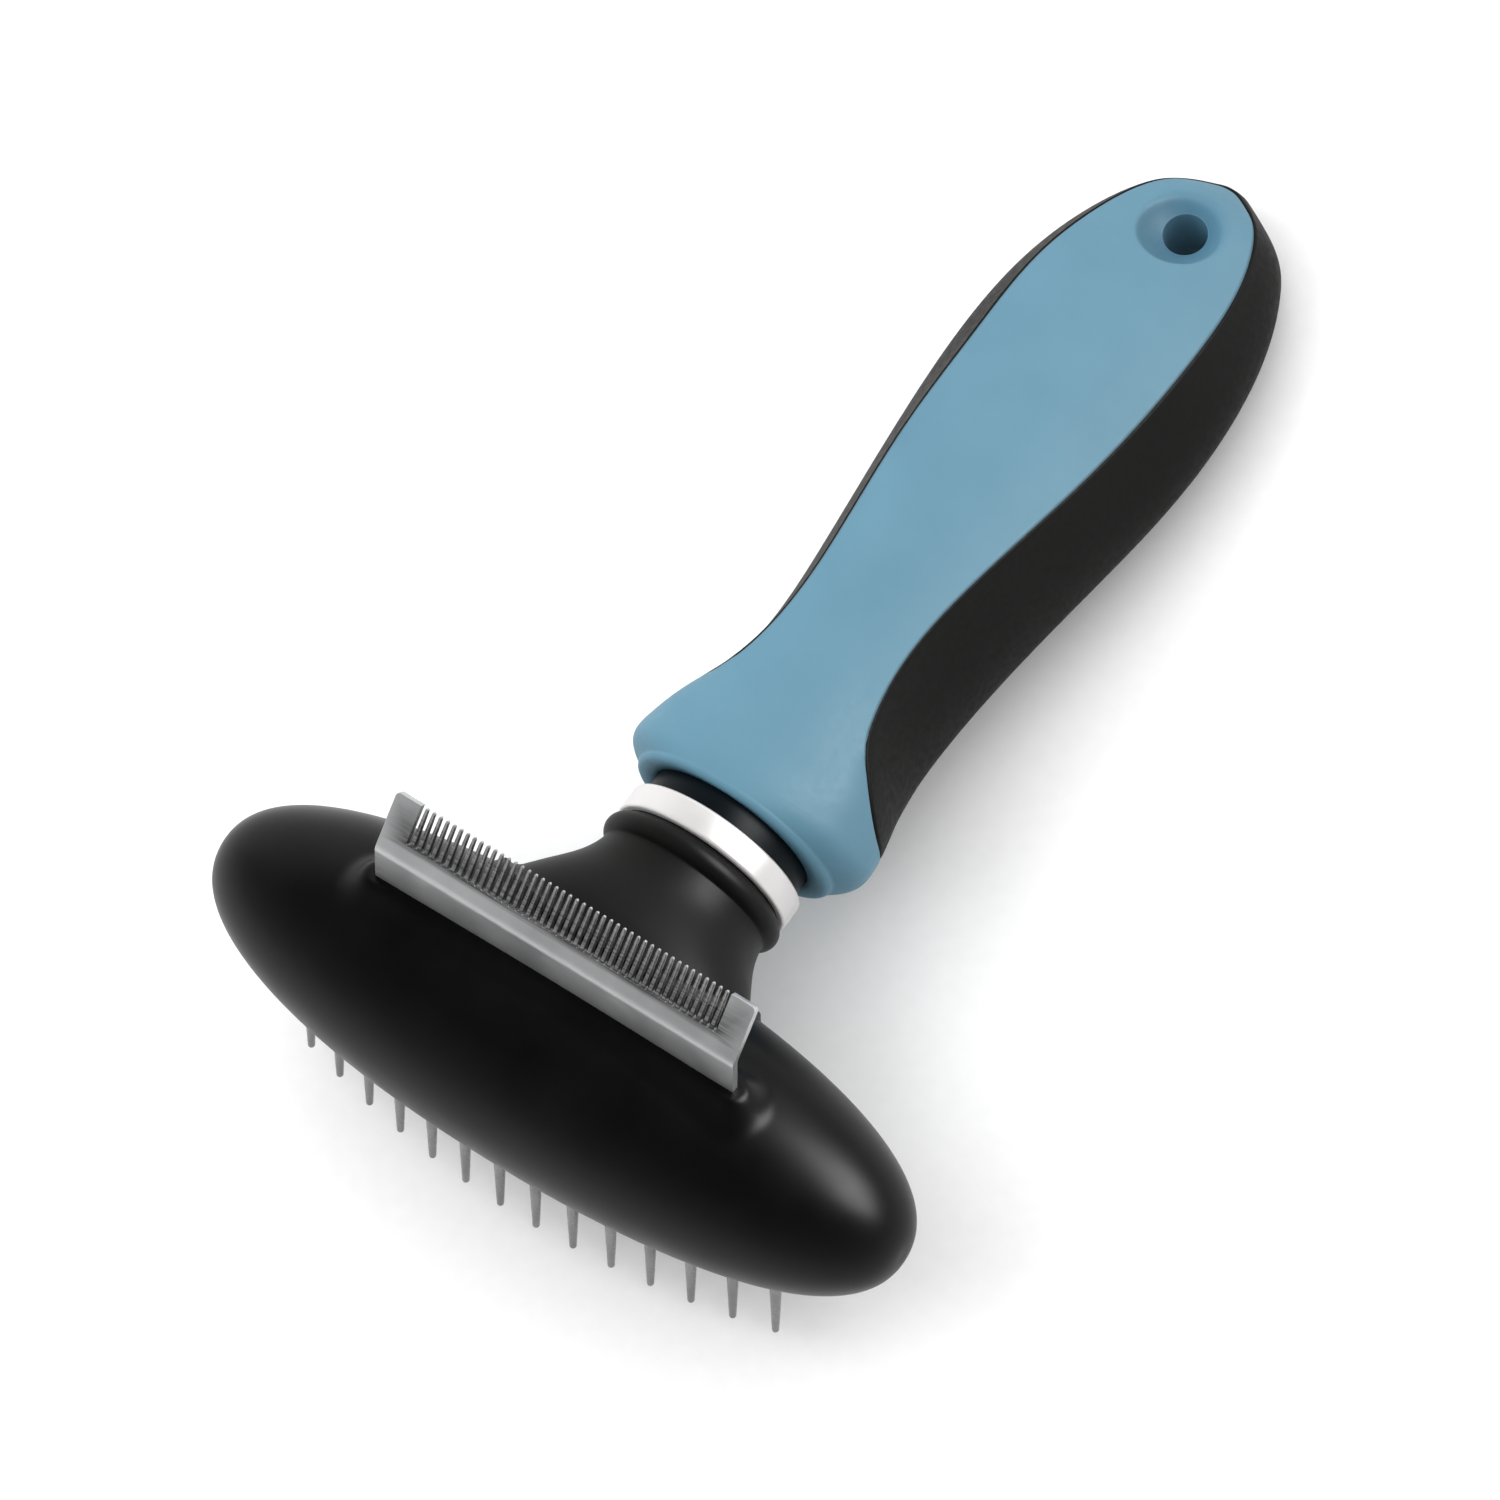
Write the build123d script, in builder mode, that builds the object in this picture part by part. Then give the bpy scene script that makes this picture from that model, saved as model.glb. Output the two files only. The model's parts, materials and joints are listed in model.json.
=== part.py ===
"""Double-sided undercoat rake: an oval head with two rows of turning pins below, a fine
toothed deshedding blade above, and a two-material grip on a steel tang.  Millimetres."""

from build123d import *
from math import cos, radians, sin
import os

os.makedirs("parts", exist_ok=True)

# ---------------------------------------------------------------- driving dimensions
# Placing: the rake lies on its rear pins and on the back of its handle's end.
LEAN = 16.1                    # degrees that the pins lean from vertical as it lies
HEAD_CENTRE = (0, -61.3, 26.6)  # centre of the head's dome
HANDLE_RISE = 11.5             # degrees between the handle and the plane across the pins
RING_BACK = (31.5, 5.3)        # handle end of the ferrule ring: back and up from the head

# Head
HEAD_HALF_LENGTH = 50
HEAD_RADIUS = 16
HEAD_FULLNESS = 0.62           # 0.55 would be an ellipse
END_FLAT = 0.8                 # radius of the small flat at each end
CAVITY = (40.0, 11.4)          # half length and half width of the hollow inside
CAVITY_ROUND = 2.5
SEAM = -6.4                    # height of the joint between housing and pin plate
UNDERSIDE = -9.6
EDGE_ROUND = 1.4

# Pins
PINS_PER_ROW = 14
PIN_PITCH = 5.34
ROW_MIDDLE = 9.3               # a row's distance from the centre line at its middle
ROW_BOW = 4.9                  # and how much nearer its ends are
PIN_RADIUS = 0.9
PIN_TIP_RADIUS = 0.45
PIN_TIP = -25.0
PIN_HEAD_RADIUS = 1.6
PIN_HEAD = 1.1
RUNNING_FIT = 0.05
PIN_SEAT = 1.2                 # depth of each pin head's counterbore

# Retainer above the pin heads, and the screws that hold it and the plate
RETAINER = 1.4
RETAINER_FIT = 0.3
PLATE_SCREWS = [(-43.0, 0), (-16.0, -6.0), (16.0, 6.0), (43.0, 0)]
PLATE_SCREW_LENGTH = 9.5
BOSS_RADIUS = 2.3
SCREW_RADIUS = 1.0
SCREW_HEAD_RADIUS = 1.8
SCREW_HEAD = 1.2
SCREW_RECESS = (2.2, 0.5, 0.7)  # arm length, arm width and depth of the cross

# Blade
BLADE = 1.0                    # thickness
BLADE_LENGTH = 52.7
BLADE_Y = -1.1
BLADE_BEND = 21.8              # height of the bend
BLADE_LEAN = 36                # degrees that it leans back above the bend
BLADE_TOP = 7.8                # length of the leaning part
BLADE_ROOT = 5.5
TOOTH_LENGTH = 5.3
TOOTH_PITCH = 1.0
TOOTH_GAP = 0.5
POST = 3.0                     # solid post at each end of the teeth
SHOULDER = 3.0                 # how far the root is wider than the blade, each side
SLOT_FIT = 0.05
PLINTH = (57, 4.8)             # raised pad that the blade stands on
PLINTH_TOP = 16.2
PLINTH_ROUND = 0.7
GUIDE_BOTTOM = 8.0             # ceiling of the hollow, which the blade's shoulders meet
CLAMP = (70, 5.0, 3.0)         # bar under the blade's root
CLAMP_SCREW_X = 32.0
CLAMP_SCREW_LENGTH = 7.5

# Neck, ring, collar and tang, by distance along the handle from the ring's back edge
RING_LENGTH = 3.6
RING_RADIUS = 12.2
COLLAR_LENGTH = 2.9
COLLAR_RADIUS = 11.0
SPIGOT_RADIUS = 9.4
SPIGOT_END = 8.0
# Neck sections: distance along, half width, half height, rise of the centre
NECK_SECTIONS = [(-3.6, 11.4, 11.3, 0.0), (-7.4, 11.7, 11.1, 0.2), (-10.6, 13.0, 10.5, 1.1),
                 (-13.6, 15.0, 9.8, 2.6), (-17.2, 17.6, 9.2, 4.0), (-22.5, 22.0, 8.8, 4.6)]
BEAD_AT = -5.4
BEAD_RADIUS = 1.6
BEAD_CENTRE = 11.0
TANG_RADIUS = 3.5
TANG = (-11.0, 62.0)
TANG_PIN_AT = 48.0
TANG_PIN_RADIUS = 1.5
TANG_PIN_HALF = 7.0
NECK_SCREW_X = 7.6
NECK_SCREW_SEAT = -21.6        # where the heads of the neck's screws bear
NECK_SCREW_LENGTH = 12.0
NECK_BOSS_RADIUS = 3.0

# Grip sections: distance along, top, edge of the panel (out, up), side (out, up), bottom,
# and the slopes below horizontal on each side of the panel's edge
GRIP_SECTIONS = [
    (2.9, 12.4, 8.9, 8.9, 12.6, 0.0, -12.4, 45, 45),
    (5.0, 12.7, 11.3, 9.0, 16.0, 0.0, -13.6, 38, 38),
    (8.2, 12.6, 12.3, 8.8, 17.1, -0.6, -14.2, 34, 40),
    (12.0, 11.9, 12.4, 8.4, 16.1, -2.4, -14.4, 28, 50),
    (18.0, 10.9, 10.4, 8.4, 14.1, -5.0, -14.4, 20, 64),
    (27.0, 10.4, 8.4, 9.0, 13.2, -6.6, -14.0, 14, 71),
    (40.0, 10.1, 8.9, 8.8, 14.0, -7.0, -14.4, 14, 70),
    (55.0, 8.6, 10.9, 6.9, 15.8, -7.5, -15.4, 14, 68),
    (72.0, 5.6, 12.2, 3.8, 17.5, -8.0, -16.4, 14, 64),
    (85.0, 3.8, 12.2, 2.2, 16.9, -8.3, -16.1, 14, 62),
    (94.6, 1.2, 10.7, -0.3, 14.6, -8.7, -15.3, 16, 60),
    (100.4, -0.6, 8.6, -1.8, 11.9, -9.0, -14.4, 18, 58),
    (105.0, -3.0, 5.2, -4.0, 7.6, -9.2, -13.0, 22, 55),
    (107.7, -6.2, 1.7, -6.8, 2.6, -9.3, -11.2, 30, 50),
]
# Line between the soft panel and the side shell, seen from the side
PANEL_EDGE = [(10.6, -2.0), (12.6, 3.4), (15.6, 6.9), (20.0, 8.5), (27.0, 9.0), (40.0, 8.8),
              (55.0, 6.9), (72.0, 3.8), (85.0, 2.2), (94.6, -0.3), (100.4, -1.8),
              (105.0, -4.0), (111.0, -8.0)]
CORE_INSET = 2.6
HOLE_AT = 98.2
HOLE_RADIUS = 2.8
LINER_RADIUS = 6.4
DISH_RADIUS = 5.4
DISH_DEPTH = 3.4
DISH_TOP = 0.3

# ---------------------------------------------------------------- base planes
lean = radians(LEAN)
HEAD = Plane(origin=HEAD_CENTRE, x_dir=(1, 0, 0), z_dir=(0, sin(lean), cos(lean)))
HEAD_LONG = Plane(origin=HEAD.origin, x_dir=(1, 0, 0), z_dir=-HEAD.y_dir)
HEAD_SIDE = Plane(origin=HEAD.origin, x_dir=HEAD.y_dir, z_dir=(1, 0, 0))
HEAD_AXIS = Axis(HEAD.origin, (1, 0, 0))
HEAD_UP = Axis(HEAD.origin, HEAD.z_dir)
rise = radians(HANDLE_RISE)
along = HEAD.y_dir * cos(rise) + HEAD.z_dir * sin(rise)
ring_back = HEAD.origin + HEAD.y_dir * RING_BACK[0] + HEAD.z_dir * RING_BACK[1]
HANDLE = Plane(origin=ring_back, x_dir=(-1, 0, 0), z_dir=along)
HANDLE_SIDE = Plane(origin=ring_back, x_dir=along, z_dir=(1, 0, 0))
HOLE = Plane(origin=ring_back + along * HOLE_AT, x_dir=(1, 0, 0), z_dir=HANDLE.y_dir)


# ---------------------------------------------------------------- shared outlines
def head_section():
    """Half of the head's lengthwise outline, on the pins' side, with small flat ends."""
    length = HEAD_HALF_LENGTH
    radius = HEAD_RADIUS
    rest = radius - END_FLAT
    full_length = HEAD_FULLNESS * length
    full_radius = END_FLAT + HEAD_FULLNESS * rest
    with BuildSketch(HEAD_LONG) as section:
        with BuildLine():
            Line((-length, 0), (-length, -END_FLAT))
            Bezier((-length, -END_FLAT), (-length, -full_radius), (-full_length, -radius), (0, -radius))
            Bezier((0, -radius), (full_length, -radius), (length, -full_radius), (length, -END_FLAT))
            Polyline((length, -END_FLAT), (length, 0), (-length, 0))
        make_face()
    return section.sketch


def head_slice(section, bottom, top=None):
    """The part of the head's form above one height, and below another if it is given."""
    with BuildPart() as form:
        revolve(section, axis=HEAD_AXIS)
        split(bisect_by=HEAD.offset(bottom), keep=Keep.TOP)
        if top is not None:
            split(bisect_by=HEAD.offset(top), keep=Keep.BOTTOM)
    return form.part


def bezier_point(corners, share):
    """A point part of the way along a cubic curve."""
    rest = 1 - share
    weights = (rest ** 3, 3 * rest ** 2 * share, 3 * rest * share ** 2, share ** 3)
    return tuple(sum(w * c[axis] for w, c in zip(weights, corners)) for axis in (0, 1))


def grip_section(at, top, edge_x, edge_y, side_x, side_y, bottom, slope_in, slope_out, inset=0):
    """One closed cross-section of the grip, symmetric left to right."""
    lean_in = radians(slope_in)
    lean_out = radians(slope_out)
    reach_in = 0.35 * edge_x
    reach_out = 0.35 * (edge_y - side_y)
    curves = [
        [(0, top), (0.5 * edge_x, top),
         (edge_x - reach_in * cos(lean_in), edge_y + reach_in * sin(lean_in)), (edge_x, edge_y)],
        [(edge_x, edge_y),
         (edge_x + reach_out * cos(lean_out), edge_y - reach_out * sin(lean_out)),
         (side_x, side_y + 0.35 * (edge_y - side_y)), (side_x, side_y)],
        [(side_x, side_y), (side_x, side_y + 0.55 * (bottom - side_y)),
         (0.55 * side_x, bottom), (0, bottom)],
    ]
    middle = (top + bottom) / 2
    across = 1 - inset / side_x
    tall = 1 - 2 * inset / (top - bottom)
    half = [bezier_point(curve, step / 3) for curve in curves for step in range(3)]
    half = [(x * across, middle + (y - middle) * tall) for x, y in [*half, (0, bottom)]]
    other = [(-x, y) for x, y in reversed(half[1:-1])]
    with BuildSketch(HANDLE.offset(at)) as section:
        with BuildLine():
            Spline(*half, *other, periodic=True)
        make_face()
    return section.sketch


def disc(plane, radius, places=((0, 0),)):
    """Circles on a plane."""
    with BuildSketch(plane) as circles:
        with Locations(*places):
            Circle(radius)
    return circles.sketch


def pin_places(side):
    """Centres of one row of pins; side is -1 for the front row and 1 for the rear."""
    half = (PINS_PER_ROW - 1) / 2
    places = []
    for index in range(PINS_PER_ROW):
        x = (index - half) * PIN_PITCH
        y = ROW_MIDDLE - ROW_BOW * (x / (half * PIN_PITCH)) ** 2
        places.append((x, side * y))
    return places


def screw(plane, places, length):
    """A group of like pan-head screws; each head stands below the plane."""
    arm, width, depth = SCREW_RECESS
    with BuildPart() as group:
        with BuildSketch(plane):
            with Locations(*places):
                Circle(SCREW_RADIUS)
        extrude(amount=length)
        with BuildSketch(plane):
            with Locations(*places):
                Circle(SCREW_HEAD_RADIUS)
        extrude(amount=-SCREW_HEAD)
        with BuildSketch(plane.offset(-SCREW_HEAD)):
            with Locations(*places):
                Rectangle(arm, width)
                Rectangle(width, arm)
        extrude(amount=depth, mode=Mode.SUBTRACT)
    return group


def turning_pin(x, y):
    """A headed pin whose shank tapers to a rounded tip."""
    centre = HEAD.origin + HEAD.x_dir * x + HEAD.y_dir * y
    seat = SEAM - PIN_SEAT + RUNNING_FIT
    taper_start = UNDERSIDE - 1.5
    tip_centre = PIN_TIP + PIN_TIP_RADIUS
    with BuildPart() as pin:
        with BuildSketch(Plane(origin=centre, x_dir=(1, 0, 0), z_dir=-HEAD.y_dir)):
            with BuildLine():
                Polyline((0, seat + PIN_HEAD), (PIN_HEAD_RADIUS, seat + PIN_HEAD),
                         (PIN_HEAD_RADIUS, seat), (PIN_RADIUS, seat),
                         (PIN_RADIUS, taper_start), (PIN_TIP_RADIUS, tip_centre))
                RadiusArc((PIN_TIP_RADIUS, tip_centre), (0, PIN_TIP), PIN_TIP_RADIUS)
                Line((0, PIN_TIP), (0, seat + PIN_HEAD))
            make_face()
        revolve(axis=Axis(centre, HEAD.z_dir))
    return pin


def keep(piece, name):
    """Names a finished piece and writes it."""
    piece.part.label = name
    export_step(piece.part, "parts/" + name + ".step")


rows = {"front": pin_places(-1), "rear": pin_places(1)}
all_pins = rows["front"] + rows["rear"]
outer_section = head_section()
with BuildPart() as dome:
    revolve(outer_section, axis=HEAD_AXIS)

# ---------------------------------------------------------------- blade
blade_lean = radians(BLADE_LEAN)
tip_y = BLADE_Y + BLADE_TOP * sin(blade_lean)
tip_z = BLADE_BEND + BLADE_TOP * cos(blade_lean)
tooth_face = Plane(
    origin=HEAD.origin + HEAD.y_dir * tip_y + HEAD.z_dir * tip_z,
    x_dir=(1, 0, 0),
    z_dir=HEAD.y_dir * cos(blade_lean) - HEAD.z_dir * sin(blade_lean),
)
gap_count = int((BLADE_LENGTH - 2 * POST) / TOOTH_PITCH)
with BuildPart() as blade:
    with BuildSketch(HEAD_SIDE.offset(-BLADE_LENGTH / 2)):
        with BuildLine():
            FilletPolyline((BLADE_Y, BLADE_ROOT), (BLADE_Y, BLADE_BEND), (tip_y, tip_z), radius=1.5)
        trace(line_width=BLADE)
    extrude(amount=BLADE_LENGTH)
    with BuildSketch(HEAD.offset(BLADE_ROOT)):
        with Locations((0, BLADE_Y)):
            Rectangle(BLADE_LENGTH + 2 * SHOULDER, BLADE)
    extrude(amount=GUIDE_BOTTOM - BLADE_ROOT)
    with BuildSketch(tooth_face):
        with Locations((0, TOOTH_LENGTH / 2 - 0.5)):
            with GridLocations(TOOTH_PITCH, 1, gap_count, 1):
                Rectangle(TOOTH_GAP, TOOTH_LENGTH + 1)
    extrude(amount=3 * BLADE, both=True, mode=Mode.SUBTRACT)
keep(blade, "blade")

# ---------------------------------------------------------------- clamp bar and its screws
clamp_places = [(-CLAMP_SCREW_X, BLADE_Y), (CLAMP_SCREW_X, BLADE_Y)]
clamp_bottom = HEAD.offset(BLADE_ROOT - CLAMP[2])
clamp_screws = screw(clamp_bottom, clamp_places, CLAMP_SCREW_LENGTH)
keep(clamp_screws, "clamp_screws")

with BuildPart() as blade_clamp:
    with BuildSketch(clamp_bottom):
        with Locations((0, BLADE_Y)):
            RectangleRounded(CLAMP[0], CLAMP[1], 1.5)
    extrude(amount=CLAMP[2])
    add(clamp_screws.part, mode=Mode.SUBTRACT)
keep(blade_clamp, "blade_clamp")

# ---------------------------------------------------------------- screws of plate and neck
plate_seat = HEAD.offset(UNDERSIDE + SCREW_HEAD + 0.2)
plate_screws = screw(plate_seat, PLATE_SCREWS, PLATE_SCREW_LENGTH)
keep(plate_screws, "plate_screws")

neck_places = [(-NECK_SCREW_X, 0), (NECK_SCREW_X, 0)]
neck_seat = HANDLE.offset(NECK_SCREW_SEAT)
neck_screws = screw(neck_seat, neck_places, NECK_SCREW_LENGTH)
keep(neck_screws, "neck_screws")

# ---------------------------------------------------------------- head housing
with BuildPart() as cavity:
    with BuildSketch(HEAD.offset(SEAM)):
        Ellipse(*CAVITY)
    extrude(amount=GUIDE_BOTTOM - SEAM)
    fillet(faces().sort_by(HEAD_UP)[-1].edges(), CAVITY_ROUND)
    with BuildSketch(HEAD.offset(SEAM + RETAINER)):
        with Locations(*PLATE_SCREWS[1:-1]):
            Circle(BOSS_RADIUS)
    extrude(amount=HEAD_RADIUS, mode=Mode.SUBTRACT)
    with BuildSketch(neck_seat):
        with Locations(*neck_places):
            Circle(NECK_BOSS_RADIUS)
    extrude(amount=HEAD_RADIUS, mode=Mode.SUBTRACT)

with BuildPart() as head_housing:
    with BuildSketch(HEAD.offset(GUIDE_BOTTOM)):
        with Locations((0, BLADE_Y)):
            RectangleRounded(*PLINTH, PLINTH[1] / 2 - 0.1)
    extrude(amount=PLINTH_TOP - GUIDE_BOTTOM)
    fillet(faces().sort_by(HEAD_UP)[-1].edges(), PLINTH_ROUND)
    add(head_slice(outer_section, SEAM))
    add(cavity.part, mode=Mode.SUBTRACT)
    with BuildSketch(HEAD):
        with Locations((0, BLADE_Y)):
            Rectangle(BLADE_LENGTH + 2 * SLOT_FIT, BLADE + 2 * SLOT_FIT)
    extrude(amount=2 * HEAD_RADIUS, mode=Mode.SUBTRACT)
    extrude(disc(plate_seat, SCREW_RADIUS, PLATE_SCREWS), amount=PLATE_SCREW_LENGTH,
            mode=Mode.SUBTRACT)
    extrude(disc(clamp_bottom, SCREW_RADIUS, clamp_places), amount=CLAMP_SCREW_LENGTH,
            mode=Mode.SUBTRACT)
    extrude(disc(neck_seat, SCREW_RADIUS, neck_places), amount=NECK_SCREW_LENGTH,
            mode=Mode.SUBTRACT)
keep(head_housing, "head_housing")

# ---------------------------------------------------------------- pin plate and retainer
with BuildPart() as pin_plate:
    add(head_slice(outer_section, UNDERSIDE, SEAM))
    fillet(faces().sort_by(HEAD_UP)[0].edges(), EDGE_ROUND)
    with BuildSketch(HEAD.offset(SEAM)):
        with Locations(*all_pins):
            Circle(PIN_HEAD_RADIUS + RUNNING_FIT)
    extrude(amount=-PIN_SEAT, mode=Mode.SUBTRACT)
    with BuildSketch(HEAD.offset(SEAM)):
        with Locations(*all_pins):
            Circle(PIN_RADIUS + RUNNING_FIT)
    extrude(amount=2 * UNDERSIDE, mode=Mode.SUBTRACT)
    with BuildSketch(HEAD.offset(UNDERSIDE)):
        with Locations(*PLATE_SCREWS):
            Circle(SCREW_HEAD_RADIUS + 0.1)
    extrude(amount=SCREW_HEAD + 0.2, mode=Mode.SUBTRACT)
    add(plate_screws.part, mode=Mode.SUBTRACT)
keep(pin_plate, "pin_plate")

with BuildPart() as pin_retainer:
    with BuildSketch(HEAD.offset(SEAM)):
        Ellipse(CAVITY[0] - RETAINER_FIT, CAVITY[1] - RETAINER_FIT)
    extrude(amount=RETAINER)
    add(plate_screws.part, mode=Mode.SUBTRACT)
keep(pin_retainer, "pin_retainer")

# ---------------------------------------------------------------- pins
for side, places in rows.items():
    for number, (x, y) in enumerate(places, start=1):
        keep(turning_pin(x, y), f"{side}_pin_{number:02d}")

# ---------------------------------------------------------------- tang and its cross pin
with BuildPart() as tang:
    with BuildSketch(HANDLE.offset(TANG[0])):
        Circle(TANG_RADIUS)
    extrude(amount=TANG[1] - TANG[0])
    chamfer(edges().filter_by(GeomType.CIRCLE), 0.5)
    with BuildSketch(HANDLE_SIDE):
        with Locations((TANG_PIN_AT, 0)):
            Circle(TANG_PIN_RADIUS)
    extrude(amount=TANG_PIN_HALF, both=True, mode=Mode.SUBTRACT)
keep(tang, "tang")

with BuildPart() as tang_pin:
    with BuildSketch(HANDLE_SIDE):
        with Locations((TANG_PIN_AT, 0)):
            Circle(TANG_PIN_RADIUS)
    extrude(amount=TANG_PIN_HALF, both=True)
keep(tang_pin, "tang_pin")

# ---------------------------------------------------------------- neck, ring and collar
neck_sections = []
for at, half_width, half_height, centre_rise in NECK_SECTIONS:
    with BuildSketch(HANDLE.offset(at)) as neck_section:
        with Locations((0, centre_rise)):
            Ellipse(half_width, half_height)
    neck_sections.append(neck_section.sketch)

with BuildPart() as neck:
    loft(neck_sections)
    with BuildSketch(HANDLE_SIDE) as bead:
        with Locations((BEAD_AT, BEAD_CENTRE)):
            Circle(BEAD_RADIUS)
    revolve(axis=Axis(HANDLE.origin, HANDLE.z_dir))
    with BuildSketch(HANDLE.offset(-RING_LENGTH)):
        Circle(SPIGOT_RADIUS)
    extrude(amount=RING_LENGTH + SPIGOT_END)
    add(dome.part, mode=Mode.SUBTRACT)
    with BuildSketch(HANDLE.offset(TANG[0])):
        Circle(TANG_RADIUS)
    extrude(amount=SPIGOT_END - TANG[0], mode=Mode.SUBTRACT)
    add(neck_screws.part, mode=Mode.SUBTRACT)
keep(neck, "neck")

with BuildPart() as ferrule_ring:
    with BuildSketch(HANDLE.offset(-RING_LENGTH)):
        Circle(RING_RADIUS)
        Circle(SPIGOT_RADIUS, mode=Mode.SUBTRACT)
    extrude(amount=RING_LENGTH)
    fillet(edges().filter_by(GeomType.CIRCLE).group_by(SortBy.RADIUS)[-1], 0.4)
keep(ferrule_ring, "ferrule_ring")

with BuildPart() as collar:
    with BuildSketch(HANDLE):
        Circle(COLLAR_RADIUS)
        Circle(SPIGOT_RADIUS, mode=Mode.SUBTRACT)
    extrude(amount=COLLAR_LENGTH)
keep(collar, "collar")

# ---------------------------------------------------------------- grip
grip_sections = [grip_section(*row) for row in GRIP_SECTIONS]
core_sections = [grip_section(*row, inset=CORE_INSET) for row in GRIP_SECTIONS[1:-2]]
spigot_bore = disc(HANDLE, SPIGOT_RADIUS)
liner_disc = disc(HOLE, LINER_RADIUS)
with BuildPart() as grip_form:
    loft(grip_sections)

with BuildPart() as liner:
    extrude(liner_disc, amount=30, both=True)
    add(grip_form.part, mode=Mode.INTERSECT)

with BuildPart() as handle_core:
    loft(core_sections)
    extrude(spigot_bore, amount=SPIGOT_END, mode=Mode.SUBTRACT)
    add(tang.part, mode=Mode.SUBTRACT)
    add(tang_pin.part, mode=Mode.SUBTRACT)
    extrude(liner_disc, amount=30, both=True, mode=Mode.SUBTRACT)
keep(handle_core, "handle_core")

with BuildPart() as shell_zone:
    with BuildSketch(HANDLE_SIDE):
        with BuildLine():
            upper = Spline(*PANEL_EDGE)
            Polyline(upper @ 1, (120, -10), (120, -40), (14, -40), upper @ 0)
        make_face()
    extrude(amount=40, both=True)

with BuildPart() as grip_shell:
    add(grip_form.part)
    add(shell_zone.part, mode=Mode.INTERSECT)
    add(handle_core.part, mode=Mode.SUBTRACT)
    add(tang.part, mode=Mode.SUBTRACT)
    add(tang_pin.part, mode=Mode.SUBTRACT)
    extrude(liner_disc, amount=30, both=True, mode=Mode.SUBTRACT)
keep(grip_shell, "grip_shell")

dish_ball = (DISH_RADIUS ** 2 + DISH_DEPTH ** 2) / (2 * DISH_DEPTH)
with BuildPart() as grip_panel:
    add(grip_form.part)
    add(shell_zone.part, mode=Mode.SUBTRACT)
    add(handle_core.part, mode=Mode.SUBTRACT)
    extrude(spigot_bore, amount=SPIGOT_END, mode=Mode.SUBTRACT)
    add(tang.part, mode=Mode.SUBTRACT)
    add(tang_pin.part, mode=Mode.SUBTRACT)
    add(liner.part)
    with BuildSketch(HOLE):
        Circle(HOLE_RADIUS)
    extrude(amount=30, both=True, mode=Mode.SUBTRACT)
    with Locations(HOLE.offset(DISH_TOP + dish_ball - DISH_DEPTH)):
        Sphere(dish_ball, mode=Mode.SUBTRACT)
keep(grip_panel, "grip_panel")
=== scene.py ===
"""Looks of the undercoat rake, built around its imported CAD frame.

Shapes are worked out in millimetres in the head's or the handle's own axes, as in the CAD
model, and turned into metres in the CAD frame when their mesh is made.
"""
import json
import math

import bmesh
import bpy
import numpy as np
from mathutils import Matrix, Vector
from mathutils.kdtree import KDTree


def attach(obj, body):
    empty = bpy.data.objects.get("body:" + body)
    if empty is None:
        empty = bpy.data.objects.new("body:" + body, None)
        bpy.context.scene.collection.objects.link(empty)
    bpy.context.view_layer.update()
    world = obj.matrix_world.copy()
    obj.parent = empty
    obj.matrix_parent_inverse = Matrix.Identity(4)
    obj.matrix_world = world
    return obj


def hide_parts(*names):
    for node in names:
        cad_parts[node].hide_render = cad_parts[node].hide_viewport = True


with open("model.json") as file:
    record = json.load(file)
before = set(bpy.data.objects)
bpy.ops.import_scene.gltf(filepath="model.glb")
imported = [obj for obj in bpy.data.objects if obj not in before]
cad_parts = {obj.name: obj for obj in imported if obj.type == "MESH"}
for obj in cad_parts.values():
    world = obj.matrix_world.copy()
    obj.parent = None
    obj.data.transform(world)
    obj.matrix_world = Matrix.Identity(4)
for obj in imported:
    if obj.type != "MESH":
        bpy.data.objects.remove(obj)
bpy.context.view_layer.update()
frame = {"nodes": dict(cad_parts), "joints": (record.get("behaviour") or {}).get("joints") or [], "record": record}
MM = 0.001

# ---------------------------------------------------------------- dimensions, millimetres
# Head
HALF_LENGTH = 50.0
HEAD_RADIUS = 16.0
FULLNESS = 0.62
END_FLAT = 0.8
SEAM = -6.4
UNDERSIDE = -9.6
SEAM_ROLL = 0.45
HOUSING_WALL = 1.8
# Raised pad that the blade stands on
PAD = (57.0, 4.8)              # length and width
PAD_TOP = 16.2
PAD_SLOPE = 1.6                # fall for each millimetre away from its edge
PAD_EDGE = 0.8                 # softness of its edge
PAD_INSET = 1.0                # how far inside its outline the fall starts
PAD_BLEND = 2.0
PAD_ABOVE = 8.0                # the pad touches only the part of the head above this height
# Blade
BLADE_Y = -1.1
BLADE = 1.0
BLADE_LENGTH = 52.7
BLADE_FOOT = 13.0
BLADE_BEND = 21.8
BEND_RADIUS = 1.6
BLADE_LEAN = math.radians(36)
BLADE_TOP = 7.8
TOOTH_LENGTH = 5.3
TOOTH_PITCH = 1.0
TOOTH_GAP = 0.5
GAPS = 46
# Handle, by distance along it from the back edge of the ring
RING_LENGTH = 3.6
RING_RADIUS = 12.2
COLLAR_LENGTH = 2.9
COLLAR_RADIUS = 11.0
SPIGOT_RADIUS = 9.4
NECK = [(-22.5, 22.0, 8.8, 4.6), (-17.2, 17.6, 9.2, 4.0), (-13.6, 15.0, 9.8, 2.6),
        (-10.6, 13.0, 10.5, 1.1), (-7.4, 11.7, 11.1, 0.2), (-3.6, 11.4, 11.3, 0.0)]
BEAD = (-5.4, 11.0, 1.6)       # along, centre radius, own radius
BEAD_BLEND = 0.5
NECK_FILLET = 1.3
COLLAR_TUCK = 0.3              # how far the collar runs in under the grip's lip
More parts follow.
